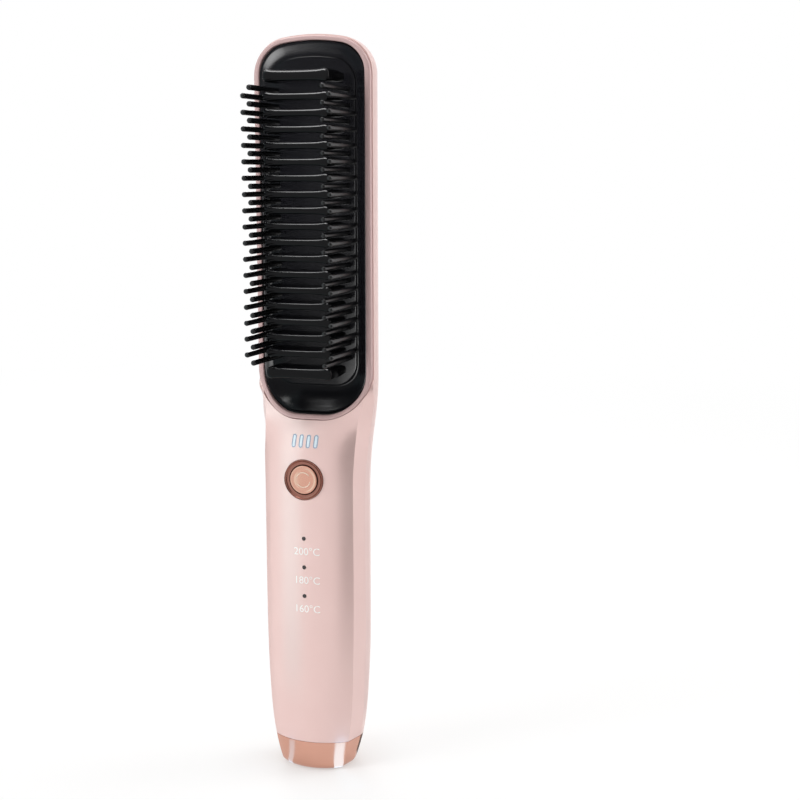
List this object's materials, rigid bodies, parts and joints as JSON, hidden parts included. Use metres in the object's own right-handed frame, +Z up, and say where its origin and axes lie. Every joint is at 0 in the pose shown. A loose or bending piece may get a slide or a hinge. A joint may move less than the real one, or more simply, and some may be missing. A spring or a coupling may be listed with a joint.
{
  "type": "hot comb",
  "caption": "Cordless hot comb: heated teeth between rows of cool bristles on a rounded head, and a grip with a power button, battery bars and temperature lamps.",
  "frame": {"origin": "middle of the flat foot under the end cap, at the mouth of the charging socket", "axes": "+Z up the comb from its foot to the top of its head, -Y towards the side with the bristles, +X to the right seen from the bristles' side"},
  "size_m": [0.0418, 0.0369, 0.25],
  "materials": {
    "shell_satin_pink": "satin pearl",
    "rose_gold": "polished rose-gold plating on plastic",
    "bronze_plate": "polished dark rose-gold plating on plastic",
    "comb_black": "high gloss, heat-resistant",
    "bristle_black": "satin, heat-resistant nylon",
    "teeth_black": "glossy black ceramic coating on a die casting",
    "heater_ceramic": "bare",
    "mica": "natural mica, translucent brown",
    "steel": "bright zinc",
    "screw_steel": "black zinc",
    "sensor_glass": "clear",
    "fuse_can": "satin",
    "lens_pale": "clear pale blue",
    "lamp_smoke": "smoked",
    "black_plastic": "fine texture",
    "white_plastic": "smooth",
    "board_green": "solder mask",
    "chip_black": "moulded",
    "foam": "open-cell foam",
    "cell_wrap": "shrink wrap on a steel can",
    "nickel": "nickel strip",
    "red_wire": "silicone insulation",
    "white_wire": "silicone insulation",
    "black_wire": "silicone insulation"
  },
  "bodies": {
    "comb": {"front_cover": "shell_satin_pink", "back_shell": "shell_satin_pink", "back_panel": "rose_gold", "case_screws": "screw_steel", "bezel_ring": "shell_satin_pink", "comb_plate": "comb_black", "left_bristles": "bristle_black", "right_bristles": "bristle_black", "heating_plate": "teeth_black", "ptc_heater": "heater_ceramic", "mica_sheet": "mica", "heater_clamp": "steel", "comb_screws": "screw_steel", "thermistor": "sensor_glass", "thermal_fuse": "fuse_can", "button_ring": "rose_gold", "switch_body": "black_plastic", "indicator_lens": "lens_pale", "temperature_lights": "lamp_smoke", "main_board": "board_green", "board_components": "chip_black", "indicator_leds": "white_plastic", "lamp_board": "board_green", "lamp_leds": "white_plastic", "foam_pad": "foam", "board_screws": "screw_steel", "battery_cell": "cell_wrap", "battery_frame": "black_plastic", "battery_tabs": "nickel", "usb_socket": "steel", "charge_board": "board_green", "joint_frame": "black_plastic", "end_cap": "rose_gold", "heater_leads": "white_wire", "battery_leads": "red_wire", "charge_leads": "black_wire"},
    "button": {"power_button": "bronze_plate", "switch_plunger": "white_plastic"}
  },
  "joints": [
    {"name": "button_press", "type": "slide", "parent": "comb", "child": "button", "axis": [0, 1, 0], "range_m": [0, 0.0005], "stiffness_N_per_m": 2000}
  ]
}
